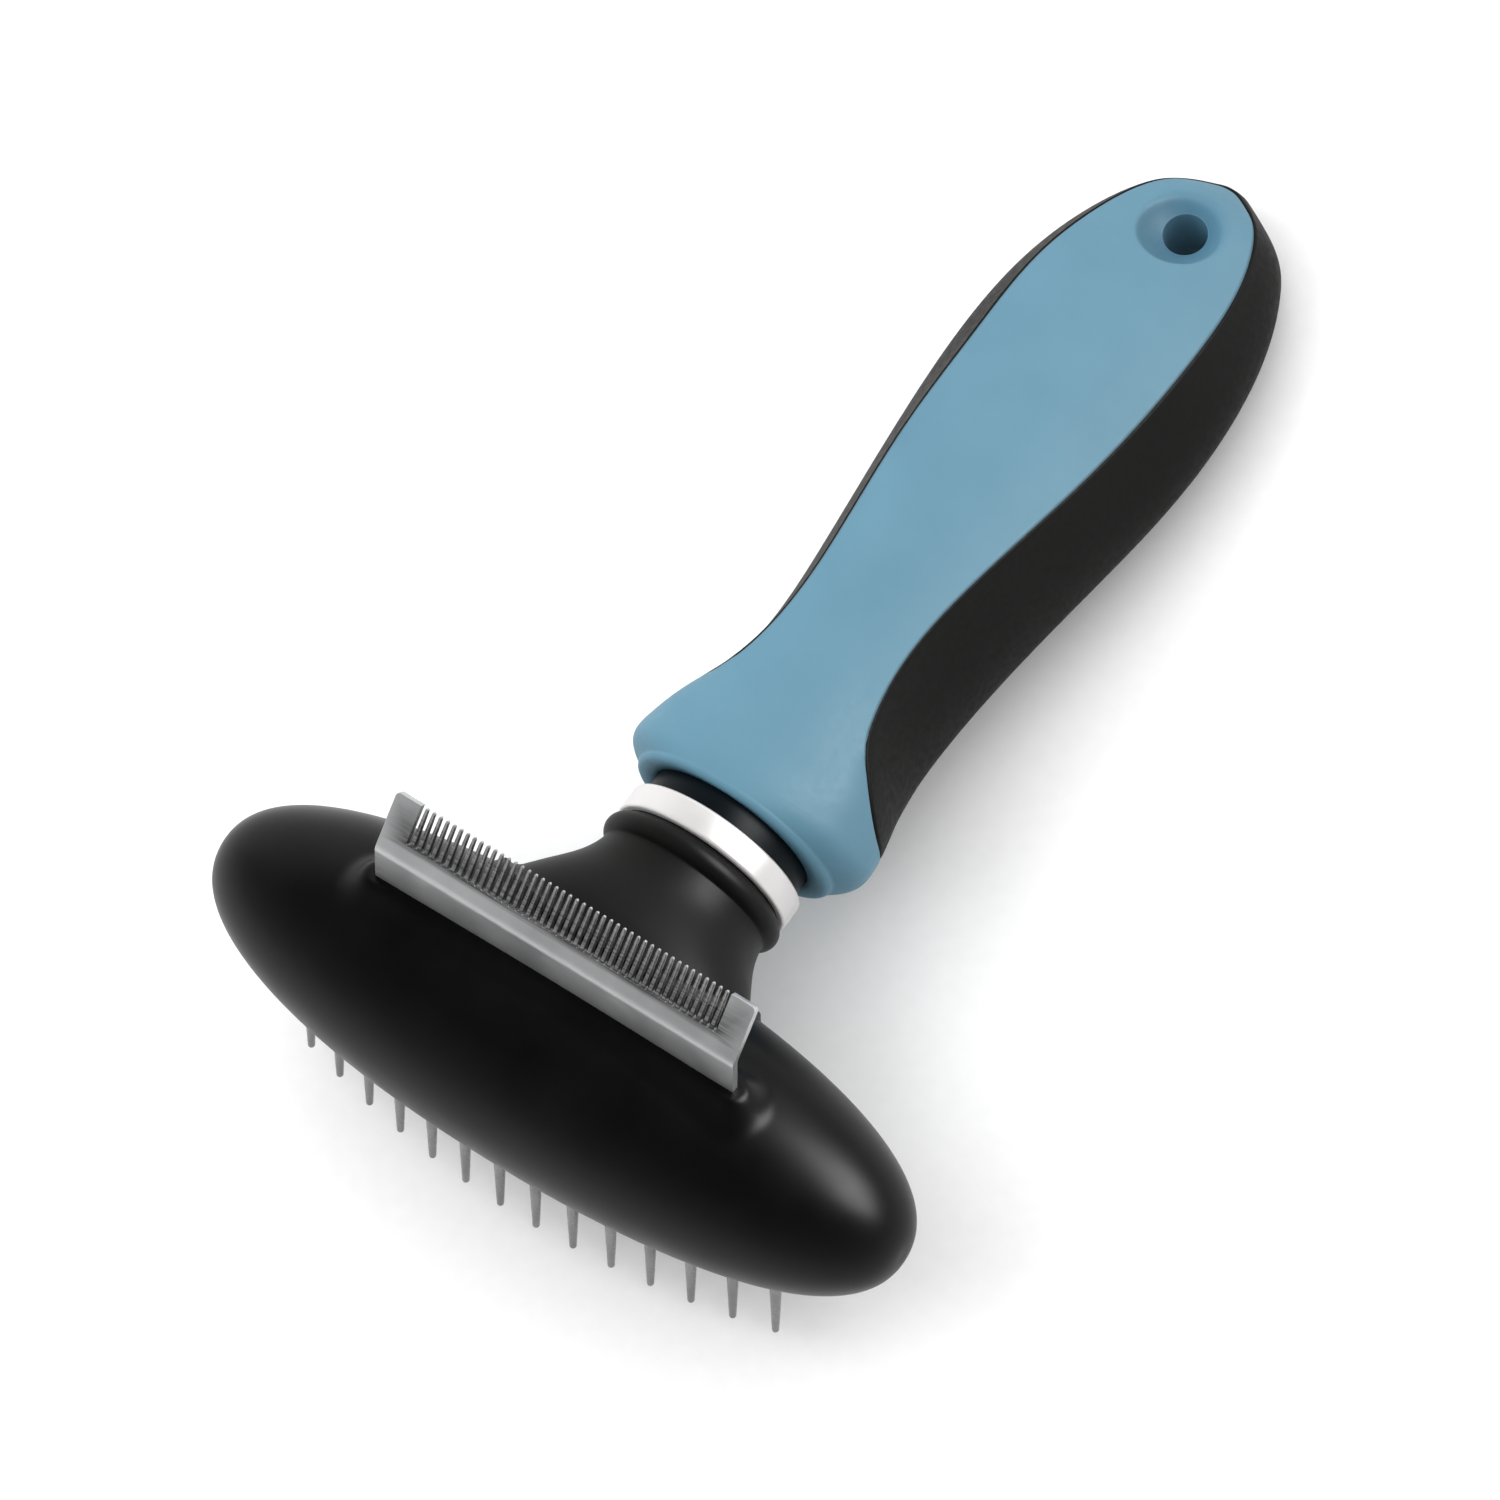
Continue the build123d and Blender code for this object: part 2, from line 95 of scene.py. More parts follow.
# Grip sections: along, top, panel edge (out, up), side (out, up), bottom, slopes in and out
GRIP = [(2.9, 12.4, 8.9, 8.9, 12.6, 0.0, -12.4, 45, 45),
        (5.0, 12.7, 11.3, 9.0, 16.0, 0.0, -13.6, 38, 38),
        (8.2, 12.6, 12.3, 8.8, 17.1, -0.6, -14.2, 34, 40),
        (12.0, 11.9, 12.4, 8.4, 16.1, -2.4, -14.4, 28, 50),
        (18.0, 10.9, 10.4, 8.4, 14.1, -5.0, -14.4, 20, 64),
        (27.0, 10.4, 8.4, 9.0, 13.2, -6.6, -14.0, 14, 71),
        (40.0, 10.1, 8.9, 8.8, 14.0, -7.0, -14.4, 14, 70),
        (55.0, 8.6, 10.9, 6.9, 15.8, -7.5, -15.4, 14, 68),
        (72.0, 5.6, 12.2, 3.8, 17.5, -8.0, -16.4, 14, 64),
        (85.0, 3.8, 12.2, 2.2, 16.9, -8.3, -16.1, 14, 62),
        (94.6, 1.2, 10.7, -0.3, 14.6, -8.7, -15.3, 16, 60),
        (100.4, -0.6, 8.6, -1.8, 11.9, -9.0, -14.4, 18, 58),
        (105.0, -3.0, 5.2, -4.0, 7.6, -9.2, -13.0, 22, 55),
        (107.7, -6.2, 1.7, -6.8, 2.6, -9.3, -11.2, 30, 50)]
LIP_ROUND = 0.9
CREASE_FULL = 19.0             # from here on the crease beside the panel is at its full sharpness
CREASE_EASE = 3.0              # length over which it grows to that
SPLIT_FRONT = 10.6             # foremost place of the line between panel and shell
SPLIT_LEVEL = 20.0             # from here on the line runs along the panel's edge
SPLIT_FULLNESS = 1.9           # power of the rounded corner at the front of the shell
SPLIT_SLANT = 1.1              # how far the line runs back from the side to the bottom
SPLIT_RISE = 5.0               # how far forward the mesh's rows bow over the top
SPLIT_ROLL = 0.55              # radius of both edges along the line
PANEL_TAIL = 104.0             # the line leaves the panel's edge here
PANEL_END = 107.3              # and crosses the middle here
SKIN = 0.5
GROOVE_REACH = 0.5             # width of the darker band beside the line
HOLE_AT = 98.2
HOLE_RADIUS = 2.8
HOLE_DEPTH = 8.8               # the mount's point below the handle's middle line
LINER_RADIUS = 6.4
DISH_RADIUS = 5.4
DISH_DEPTH = 3.4
DISH_TOP = 0.3
DISH_BLEND = 0.7
DISH_PATCH = 6.9               # radius of the part of the panel meshed in rings round the hole
SHELL_PATCH = 7.6              # and of the part of the shell

# ---------------------------------------------------------------- places, from the frame
joints = frame["joints"]
head_z = Vector(joints[0]["axis"]).normalized()
head_x = Vector((1, 0, 0))
head_y = head_z.cross(head_x)
pin_middle = sum((Vector(joint["pos_m"]) for joint in joints), Vector()) / len(joints)
head_origin = pin_middle - head_z * (UNDERSIDE * MM)
hole = frame["record"]["mounts"][0]
handle_up = Vector(hole["axis"]).normalized()
handle_along = handle_up.cross(head_x)
handle_origin = Vector(hole["pos_m"]) - handle_along * (HOLE_AT * MM) + handle_up * (HOLE_DEPTH * MM)


def axes(origin, x, y, z):
    """Matrix from millimetres along three directions to metres in the CAD frame."""
    return Matrix.Translation(origin) @ Matrix((x, y, z)).transposed().to_4x4() @ Matrix.Scale(MM, 4)


HEAD = axes(head_origin, head_x, head_y, head_z)
HANDLE = axes(handle_origin, head_x, handle_along, handle_up)
head_from_handle = np.array(HEAD.inverted() @ HANDLE)


# ---------------------------------------------------------------- shape helpers
def bezier(corners, share):
    """Points on a cubic curve; corners are four arrays or numbers, share runs from 0 to 1."""
    rest = 1 - share
    return (rest ** 3 * corners[0] + 3 * rest ** 2 * share * corners[1]
            + 3 * rest * share ** 2 * corners[2] + share ** 3 * corners[3])


def smooth_through(places, rows):
    """A natural cubic spline through rows of values; returns a function of place."""
    places = np.array(places, float)
    rows = np.array(rows, float)
    step = np.diff(places)
    slope = np.diff(rows, axis=0) / step[:, None]
    count = len(places)
    matrix = np.eye(count)
    right = np.zeros_like(rows)
    for i in range(1, count - 1):
        matrix[i, i - 1:i + 2] = step[i - 1], 2 * (step[i - 1] + step[i]), step[i]
        right[i] = 6 * (slope[i] - slope[i - 1])
    bend = np.linalg.solve(matrix, right)

    def values(place):
        place = np.clip(place, places[0], places[-1])
        i = np.clip(np.searchsorted(places, place) - 1, 0, count - 2)
        width = step[i]
        before = (places[i + 1] - place) / width
        after = 1 - before
        curve = ((before ** 3 - before)[..., None] * bend[i]
                 + (after ** 3 - after)[..., None] * bend[i + 1]) * (width ** 2)[..., None] / 6
        return before[..., None] * rows[i] + after[..., None] * rows[i + 1] + curve
    return values


def smooth_max(a, b, blend):
    """The larger of two values, with the corner rounded over a width of blend."""
    share = np.clip(0.5 + 0.5 * (a - b) / blend, 0, 1)
    return b + (a - b) * share + blend * share * (1 - share)


def roll(distance, radius):
    """How far a rounded edge lies below the surface, at a distance from the edge."""
    inside = np.clip(radius - distance, 0, radius)
    return radius - np.sqrt(np.maximum(radius ** 2 - inside ** 2, 0))


def grid_normals(grid, closed=False):
    """Unit normals of a grid of points (rows, columns, 3)."""
    if closed:
        wide = np.concatenate([grid[:, -2:-1], grid, grid[:, 1:2]], axis=1)
        across = np.gradient(wide, axis=1)[:, 1:-1]
    else:
        across = np.gradient(grid, axis=1)
    normal = np.cross(np.gradient(grid, axis=0), across)
    length = np.linalg.norm(normal, axis=2, keepdims=True)
    return normal / np.maximum(length, 1e-12)


def grid_faces(rows, columns, start=0):
    """Quads of a grid whose points are numbered row by row."""
    faces = []
    for r in range(rows - 1):
        for c in range(columns - 1):
            a = start + r * columns + c
            faces.append((a, a + 1, a + columns + 1, a + columns))
    return faces


def nearest(points, line):
    """Distance from each point to the nearest point of a line."""
    tree = KDTree(len(line))
    for number, place in enumerate(line):
        tree.insert(place, number)
    tree.balance()
    return np.array([tree.find(place)[2] for place in points])


def make_piece(name, points, faces, matrix, weld=0.002):
    """A smooth mesh object from points in millimetres, welded, with its faces turned outward."""
    mesh = bpy.data.meshes.new(name)
    mesh.from_pydata([matrix @ Vector(p) for p in np.asarray(points, float).reshape(-1, 3)], [], faces)
    work = bmesh.new()
    work.from_mesh(mesh)
    bmesh.ops.remove_doubles(work, verts=work.verts, dist=weld * MM)
    bmesh.ops.dissolve_degenerate(work, dist=1e-8, edges=work.edges)
    bmesh.ops.recalc_face_normals(work, faces=work.faces)
    for face in work.faces:
        face.smooth = True
    work.to_mesh(mesh)
    work.free()
    piece = bpy.data.objects.new(name, mesh)
    bpy.context.scene.collection.objects.link(piece)
    return piece


def apply_modifier(piece, kind, **settings):
    """Adds a modifier and applies it."""
    modifier = piece.modifiers.new(kind.lower(), kind)
    for key, value in settings.items():
        setattr(modifier, key, value)
    view = bpy.context.evaluated_depsgraph_get()
    view.update()
    done = bpy.data.meshes.new_from_object(piece.evaluated_get(view))
    piece.modifiers.clear()
    piece.data = done


def sharp_edges(piece, degrees):
    """Marks edges sharper than an angle, so that flat faces look flat."""
    work = bmesh.new()
    work.from_mesh(piece.data)
    for edge in work.edges:
        edge.smooth = not (edge.is_manifold and edge.calc_face_angle(0) > math.radians(degrees))
    work.to_mesh(piece.data)
    work.free()


def local_points(piece, matrix):
    """The piece's points in millimetres in the head's or the handle's axes."""
    inverse = np.array(matrix.inverted())
    points = np.array([v.co for v in piece.data.vertices])
    return points @ inverse[:3, :3].T + inverse[:3, 3]


def store(piece, name, values):
    """Stores a value from 0 to 1 on each point of the mesh."""
    layer = piece.data.attributes.new(name, "FLOAT", "POINT")
    layer.data.foreach_set("value", np.clip(values, 0, 1).astype(np.float32))


def finish_piece(piece, material, body, slot, *nodes):
    """Gives a piece its material, its body and the CAD nodes it stands for; the slot argument is not used."""
    piece.data.materials.clear()
    piece.data.materials.append(material)
    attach(piece, body)
    if nodes:
        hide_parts(*nodes)


def lathe(name, profile, segments=160):
    """A piece turned about the handle; profile is a closed list of (radius, distance along)."""
    angle = np.linspace(0, 2 * math.pi, segments + 1)
    ring = [*profile, profile[0]]
    points = [np.stack([radius * np.cos(angle), np.full_like(angle, at), radius * np.sin(angle)], axis=1)
              for radius, at in ring]
    return make_piece(name, np.array(points), grid_faces(len(ring), segments + 1), HANDLE)


def rounded(corners, radius, steps=5):
    """A closed outline with each corner rounded."""
    outline = []
    count = len(corners)
    for i in range(count):
        here = np.array(corners[i], float)
        before = np.array(corners[i - 1], float) - here
        after = np.array(corners[(i + 1) % count], float) - here
        size = min(radius, 0.45 * np.linalg.norm(before), 0.45 * np.linalg.norm(after))
        start = here + before / np.linalg.norm(before) * size
        end = here + after / np.linalg.norm(after) * size
        for step in range(steps + 1):
            share = step / steps
            outline.append(tuple((1 - share) ** 2 * start + 2 * share * (1 - share) * here
                                 + share ** 2 * end))
    return outline


# ---------------------------------------------------------------- materials
class Finish:
    """Builds one procedural material; textures run in millimetres over the resting object."""

    def __init__(self, name, metallic=0.0, ior=1.5, specular=0.5):
        self.material = bpy.data.materials.new(name)
        self.material.use_nodes = True
        self.nodes = self.material.node_tree.nodes
        self.links = self.material.node_tree.links
        self.shader = self.nodes["Principled BSDF"]
        self.shader.inputs["Metallic"].default_value = metallic
        self.shader.inputs["IOR"].default_value = ior
        self.shader.inputs["Specular IOR Level"].default_value = specular
        self.place = self.nodes.new("ShaderNodeTexCoord").outputs["Object"]

    def noise(self, size, detail=3.0, stretch=(1, 1, 1), turn=0.0):
        """Noise with features of a size in millimetres, longer along a stretched axis."""
        mapping = self.nodes.new("ShaderNodeMapping")
        mapping.vector_type = "TEXTURE"
        mapping.inputs["Scale"].default_value = [size * MM * s for s in stretch]
        mapping.inputs["Rotation"].default_value = (turn, 0, 0)
        self.links.new(self.place, mapping.inputs["Vector"])
        noise = self.nodes.new("ShaderNodeTexNoise")
        noise.inputs["Scale"].default_value = 1.0
        noise.inputs["Detail"].default_value = detail
        self.links.new(mapping.outputs["Vector"], noise.inputs["Vector"])
        return noise.outputs["Fac"]

    def attribute(self, name):
        """A value stored on the mesh."""
        node = self.nodes.new("ShaderNodeAttribute")
        node.attribute_name = name
        return node.outputs["Fac"]

    def span(self, value, low, high, start=0.0, end=1.0):
        """Value mapped from low..high to start..end."""
        node = self.nodes.new("ShaderNodeMapRange")
        node.inputs["From Min"].default_value = low
        node.inputs["From Max"].default_value = high
        node.inputs["To Min"].default_value = start
        node.inputs["To Max"].default_value = end
        self.links.new(value, node.inputs["Value"])
        return node.outputs["Result"]

    def combine(self, kind, a, b):
        """A maths node on two values, the second of which may be a number."""
        node = self.nodes.new("ShaderNodeMath")
        node.operation = kind
        self.links.new(a, node.inputs[0])
        if isinstance(b, (int, float)):
            node.inputs[1].default_value = b
        else:
            self.links.new(b, node.inputs[1])
        return node.outputs["Value"]

    def colours(self, value, *stops):
        """A colour ramp; stops are (place, colour)."""
        node = self.nodes.new("ShaderNodeValToRGB")
        ramp = node.color_ramp
        while len(ramp.elements) < len(stops):
            ramp.elements.new(0.5)
        for element, (place, colour) in zip(ramp.elements, stops):
            element.position = place
            element.color = (*colour, 1)
        self.links.new(value, node.inputs["Fac"])
        return node.outputs["Color"]

    def mix(self, share, a, b):
        """Two colours mixed by a value."""
        node = self.nodes.new("ShaderNodeMix")
        node.data_type = "RGBA"
        self.links.new(share, node.inputs["Factor"])
        for socket, colour in ((node.inputs[6], a), (node.inputs[7], b)):
            if isinstance(colour, tuple):
                socket.default_value = (*colour, 1)
            else:
                self.links.new(colour, socket)
        return node.outputs[2]

    def bump(self, *layers):
        """Bump layers, each (height, depth in millimetres), one on another."""
        normal = None
        for height, depth in layers:
            node = self.nodes.new("ShaderNodeBump")
            node.inputs["Distance"].default_value = depth * MM
            self.links.new(height, node.inputs["Height"])
            if normal:
                self.links.new(normal, node.inputs["Normal"])
            normal = node.outputs["Normal"]
        self.links.new(normal, self.shader.inputs["Normal"])

    def set(self, colour, roughness):
        """Links colour and roughness, and returns the finished material."""
        self.links.new(colour, self.shader.inputs["Base Color"])
        self.links.new(roughness, self.shader.inputs["Roughness"])
        return self.material


def tone(value):
    """The linear value of a display value from 0 to 255."""
    share = value / 255
    return share / 12.92 if share <= 0.04045 else ((share + 0.055) / 1.055) ** 2.4


def rgb(red, green, blue):
    """A linear colour from display values."""
    return (tone(red), tone(green), tone(blue))


def moulded(name, dark, light, low_rough, high_rough, grain=0.35, depth=0.004, specular=0.3):
    """Moulded plastic: faint mottling, fine grain and a few rubbed scratches."""
    finish = Finish(name, ior=1.4, specular=specular)
    mottle = finish.noise(9.0, 4.0)
    fine = finish.noise(grain, 2.0)
    scratch = finish.noise(1.6, 2.0, stretch=(6, 0.12, 1), turn=0.6)
    rubbed = finish.span(scratch, 0.66, 0.80)
    colour = finish.colours(mottle, (0.3, dark), (0.7, light))
    rough = finish.span(mottle, 0.3, 0.7, low_rough, high_rough)
    rough = finish.combine("ADD", rough, finish.span(rubbed, 0, 1, 0, 0.08))
    finish.bump((fine, depth), (rubbed, -0.002))
    return finish.set(colour, rough)


def metal(name, dark, light, low_rough, high_rough, stretch, size=0.5, depth=0.002, turn=0.0,
          metallic=1.0, shaded=None):
    """Worked metal: lines along the last pass, faint smears, and painted shade: darker streaked colours on a share
    kept on the mesh.
    """
    finish = Finish(name, metallic=metallic)
    lines = finish.noise(size, 3.0, stretch=stretch, turn=turn)
    smear = finish.noise(5.0, 3.0)
    colour = finish.colours(smear, (0.3, dark), (0.7, light))
    if shaded:
        attribute, low, high = shaded
        streaks = finish.colours(lines, (0.35, low), (0.7, high))
        colour = finish.mix(finish.attribute(attribute), colour, streaks)
    rough = finish.span(finish.combine("MULTIPLY", lines, smear), 0.1, 0.4, low_rough, high_rough)
    finish.bump((lines, depth))
    return finish.set(colour, rough)


lean_turn = math.atan2(-head_y.z, head_y.y)
head_gloss = moulded("head_gloss", rgb(4, 4, 4), rgb(6, 6, 6), 0.32, 0.40,
                     grain=0.5, depth=0.0012, specular=0.18)
plate_gloss = moulded("plate_gloss", rgb(12, 12, 12), rgb(17, 17, 17), 0.32, 0.42,
                      grain=0.5, depth=0.002)
neck_satin = moulded("neck_satin", rgb(13, 13, 13), rgb(17, 17, 16), 0.40, 0.50,
                     grain=0.3, depth=0.005, specular=0.15)
collar_navy = moulded("collar_navy", rgb(3, 9, 13), rgb(5, 13, 18), 0.36, 0.44,
                      grain=0.4, depth=0.002, specular=0.12)
inner_plastic = moulded("inner_plastic", rgb(120, 120, 122), rgb(135, 135, 137), 0.5, 0.6)
ring_steel = metal("ring_steel", (0.60, 0.585, 0.58), (0.64, 0.62, 0.62), 0.34, 0.40, (14, 1, 1),
                   size=0.3, depth=0.0006, metallic=0.35)
# The blade's comb of teeth takes darker colours: painted shade.
blade_steel = metal("blade_steel", (0.38, 0.385, 0.39), (0.45, 0.455, 0.46), 0.30, 0.42, (24, 1, 1),
                    size=0.25, depth=0.0012, turn=lean_turn, metallic=0.75,
                    shaded=("teeth", (0.06, 0.06, 0.06), (0.26, 0.26, 0.26)))
pin_steel = metal("pin_steel", (0.17, 0.17, 0.175), (0.24, 0.24, 0.245), 0.20, 0.32, (1, 1, 12),
                  size=0.3, depth=0.001, turn=lean_turn)
screw_steel = metal("screw_steel", (0.34, 0.35, 0.37), (0.46, 0.47, 0.49), 0.28, 0.42, (1, 1, 1),
                    size=0.4)
screw_black = metal("screw_black", (0.008, 0.008, 0.008), (0.014, 0.014, 0.014), 0.44, 0.56, (1, 1, 1),
                    size=0.4)


def grip_rubber(name, dark, light, groove, low_rough, high_rough, specular, shadow=None):
    """Soft-touch rubber: fine moulded grain, mottling, and a darker colour along the parting groove.

    With a shadow colour, the dish round the hang hole is darker too.
    """
    finish = Finish(name, ior=1.4, specular=specular)
    mottle = finish.noise(14.0, 5.0)
    grain = finish.noise(0.28, 3.0)
    dust = finish.noise(0.9, 4.0)
    groove_share = finish.attribute("groove")
    colour = finish.colours(mottle, (0.3, dark), (0.7, light))
    if shadow:
        colour = finish.mix(finish.attribute("shade"), colour, shadow)
    colour = finish.mix(finish.combine("MULTIPLY", groove_share, 0.8), colour, groove)
    rough = finish.span(dust, 0.35, 0.7, low_rough, high_rough)
    finish.bump((grain, 0.012), (mottle, 0.05))
    return finish.set(colour, rough)


grip_blue = grip_rubber("grip_blue", rgb(86, 127, 146), rgb(92, 133, 152), rgb(26, 44, 53),
                        0.54, 0.64, specular=0.3, shadow=rgb(66, 108, 130))
grip_black = grip_rubber("grip_black", rgb(8, 7, 6), rgb(12, 10, 9), rgb(3, 3, 3),
                         0.50, 0.62, specular=0.12)


# ---------------------------------------------------------------- head
def head_profile(share):
    """Place along the head and radius there; share runs from -1 to 1."""
    size = np.abs(share)
    x = bezier((0, FULLNESS * HALF_LENGTH, HALF_LENGTH, HALF_LENGTH), size)
    full = END_FLAT + FULLNESS * (HEAD_RADIUS - END_FLAT)
    radius = bezier((HEAD_RADIUS, HEAD_RADIUS, full, END_FLAT), size)
    return np.sign(share) * x, radius


profile_x, profile_radius = head_profile(np.linspace(0, 1, 600))


def radius_at(x):
    """Radius of the head at a place along it."""
    return np.interp(np.abs(x), profile_x, profile_radius)


def pad_height(x, y):
    """Top surface of the blade's pad, falling away outside its rounded outline."""
    half = PAD[1] / 2
    reach = np.hypot(np.maximum(np.abs(x) - PAD[0] / 2 + half, 0), y - BLADE_Y) - half
    beyond = np.maximum(reach + PAD_INSET, 0)
    return PAD_TOP - PAD_SLOPE * (np.hypot(beyond, PAD_EDGE) - PAD_EDGE)


def head_housing():
    """Outer shell of the head, closed at the seam, with a soft edge round its rim."""
    even = np.linspace(-1, 1, 321)
    x, radius = head_profile(0.35 * np.sin(even * math.pi / 2) + 0.65 * even)
    ends = np.array([0.0, 0.3, 0.6]) * END_FLAT
    x = np.concatenate([[-HALF_LENGTH] * 3, x, [HALF_LENGTH] * 3])
    radius = np.concatenate([ends, radius, ends[::-1]])
    limit = np.arccos(np.clip(SEAM / np.maximum(radius, 1e-6), -1, 1))
    limit = np.where(radius > -SEAM, limit, math.pi)
    across = np.linspace(-1, 1, 261)
    across = across * (0.42 + 0.58 * across ** 2)
    angle = limit[:, None] * across[None]
    x = np.repeat(x[:, None], len(across), axis=1)
    radius = np.repeat(radius[:, None], len(across), axis=1)
    height = radius * np.cos(angle)
    side = radius * np.sin(angle)
    lifted = np.where(height > PAD_ABOVE, smooth_max(height, pad_height(x, side), PAD_BLEND), height)
    grid = np.stack([x, side, lifted], axis=2)
    normal = grid_normals(grid)
    normal *= np.sign(normal[normal.shape[0] // 2, normal.shape[1] // 2, 2])
    grid = grid - normal * roll(lifted - SEAM, SEAM_ROLL)[..., None]
    return make_piece("head_housing_shell", grid, grid_faces(*grid.shape[:2]), HEAD)


housing = head_housing()
apply_modifier(housing, "SOLIDIFY", thickness=HOUSING_WALL * MM, offset=-1)
finish_piece(housing, head_gloss, "rake", "head_gloss", "head_housing")


# ---------------------------------------------------------------- blade
def blade_line(distance):
    """Middle line of the blade in the head's side view, and its normal; 0 is at the bend."""
    reach = BEND_RADIUS * math.tan(BLADE_LEAN / 2)
    turned = np.clip((distance + reach) / (2 * reach), 0, 1) * BLADE_LEAN
    low = np.minimum(distance, -reach)
    high = np.maximum(distance - reach, 0)
    y = BLADE_Y + BEND_RADIUS * (1 - np.cos(turned)) + high * np.sin(BLADE_LEAN)
    z = BLADE_BEND + low + BEND_RADIUS * np.sin(turned) + high * np.cos(BLADE_LEAN)
    return y, z, np.cos(turned), -np.sin(turned)


def blade_half(distance):
    """Half thickness: the teeth are ground thinner towards their tips."""
    root = BLADE_TOP - TOOTH_LENGTH
    share = np.clip((distance - root) / TOOTH_LENGTH, 0, 1)
    return BLADE / 2 * (1 - 0.6 * share)


def slab(outline, half):
    """Closed prism across the blade on an outline of (x, distance)."""
    flat = np.array(outline, float)
    y, z, ny, nz = blade_line(flat[:, 1])
    thick = half(flat[:, 1])
    front = np.stack([flat[:, 0], y - ny * thick, z - nz * thick], axis=1)
    back = np.stack([flat[:, 0], y + ny * thick, z + nz * thick], axis=1)
    count = len(flat)
    faces = [tuple(range(count)), tuple(range(2 * count - 1, count - 1, -1))]
    for i in range(count):
        after = (i + 1) % count
        faces.append((i, i + count, after + count, after))
    return np.concatenate([front, back]), faces


def blade_piece():
    """Bent plate with a comb of ground teeth between two solid posts."""
    end = BLADE_LENGTH / 2
    root = BLADE_TOP - TOOTH_LENGTH
    base = BEND_RADIUS
    comb = (GAPS - 1) * TOOTH_PITCH / 2 + TOOTH_GAP / 2
    points = []
    faces = []

    def add(part):
        start = len(points)
        points.extend(part[0])
        faces.extend(tuple(start + v for v in face) for face in part[1])

    def full(distance):
        return np.full_like(distance, BLADE / 2)

    rows = np.concatenate([[BLADE_FOOT - BLADE_BEND], np.linspace(-0.9, 0.9, 13), [base]])
    y, z, ny, nz = blade_line(rows)
    for sign, order in ((-1, 1), (1, -1)):
        start = len(points)
        for x in (-end, end):
            points.extend(np.stack([np.full_like(y, x), y + sign * ny * BLADE / 2,
                                    z + sign * nz * BLADE / 2], axis=1))
        count = len(rows)
        for i in range(count - 1):
            faces.append((start + i, start + i + 1, start + count + i + 1, start + count + i)[::order])
    count = len(rows)
    for side in (0, 1):
        for i in range(count - 1):
            a = side * count + i
            b = 2 * count + side * count + i
            faces.append((a, a + 1, b + 1, b))
    faces.append((0, count, 3 * count, 2 * count))

    top = BLADE_TOP
    corner = 0.5
    outline = [(-end, base), (-end, top - corner), (-end + corner * 0.3, top - corner * 0.3),
               (-end + corner, top), (-comb, top)]
    for i in range(GAPS):
        left = -comb + i * TOOTH_PITCH
        right = left + TOOTH_GAP
        middle = (left + right) / 2
        outline += [(left, root + 0.12), (left + 0.08, root - 0.06), (middle, root - 0.12),
                    (right - 0.08, root - 0.06), (right, root + 0.12)]
    outline += [(comb, top), (end - corner, top), (end - corner * 0.3, top - corner * 0.3),
                (end, top - corner), (end, base)]
    add(slab(outline, full))
    for i in range(GAPS - 1):
        left = -comb + i * TOOTH_PITCH + TOOTH_GAP
        right = left + TOOTH_PITCH - TOOTH_GAP
        middle = (left + right) / 2
        half = (right - left) / 2
        tooth = [(left, root + 0.12), (middle - 0.86 * half, top - 0.3), (middle - 0.6 * half, top - 0.08),
                 (middle, top), (middle + 0.6 * half, top - 0.08), (middle + 0.86 * half, top - 0.3),
                 (right, root + 0.12)]
        add(slab(tooth, blade_half))
    piece = make_piece("blade_plate", points, faces, HEAD)
    apply_modifier(piece, "BEVEL", width=0.07 * MM, segments=2, limit_method="ANGLE",
                   angle_limit=math.radians(35))
    sharp_edges(piece, 40)
    return piece


blade = blade_piece()
blade_places = local_points(blade, HEAD)
up_blade = (math.sin(BLADE_LEAN) * (blade_places[:, 1] - BLADE_Y)
            + math.cos(BLADE_LEAN) * (blade_places[:, 2] - BLADE_BEND))
in_comb = np.abs(blade_places[:, 0]) < GAPS * TOOTH_PITCH / 2
teeth_painted_shade = (up_blade > BLADE_TOP - TOOTH_LENGTH - 0.3) & (up_blade < BLADE_TOP - 0.2) & in_comb
# Painted shade: the comb of teeth is marked for darker colours in the blade's material.
store(blade, "teeth", np.where(teeth_painted_shade, 1.0, 0.0))
finish_piece(blade, blade_steel, "rake", "blade_steel", "blade")


# ---------------------------------------------------------------- neck, ring and collar
def neck_piece():
    """Flared neck with a bead below the ring and a moulded fillet where it meets the head."""
    sections = smooth_through([row[0] for row in NECK], [row[1:] for row in NECK])
    along = np.linspace(NECK[0][0], NECK[-1][0], 150)
    half_width, half_height, rise = (v[:, None] for v in sections(along).T)
    angle = np.linspace(0, 2 * math.pi, 193)[None]
    radius = 1 / np.sqrt((np.cos(angle) / half_width) ** 2 + (np.sin(angle) / half_height) ** 2)
    bead = BEAD[1] + np.sqrt(np.maximum(BEAD[2] ** 2 - (along[:, None] - BEAD[0]) ** 2, 0))
    bead = np.where(np.abs(along[:, None] - BEAD[0]) < BEAD[2], bead, 0)
    radius = smooth_max(np.where(bead > 0, bead, radius - 3), radius, BEAD_BLEND)
    grid = np.stack([radius * np.cos(angle), along[:, None] + 0 * angle,
                     rise + radius * np.sin(angle)], axis=2)
    in_head = grid @ head_from_handle[:3, :3].T + head_from_handle[:3, 3]
    outside = np.hypot(in_head[..., 1], in_head[..., 2]) - radius_at(in_head[..., 0])
    normal = grid_normals(grid, closed=True)
    outward = np.sign((normal * (grid - [0, 0, 2])).sum(axis=2).mean())
    grid = grid + outward * normal * roll(np.maximum(outside, 0), NECK_FILLET)[..., None]

    # End faces, drawn in to the middle inside the head and to the spigot inside the ring
    inner = grid[:1] * [0.02, 1, 0.02] + [0, 0, 4.5]
    outer = grid[-1:] * [0.78, 1, 0.78]
    grid = np.concatenate([inner, grid, outer], axis=0)
    return make_piece("neck_form", grid, grid_faces(*grid.shape[:2]), HANDLE)


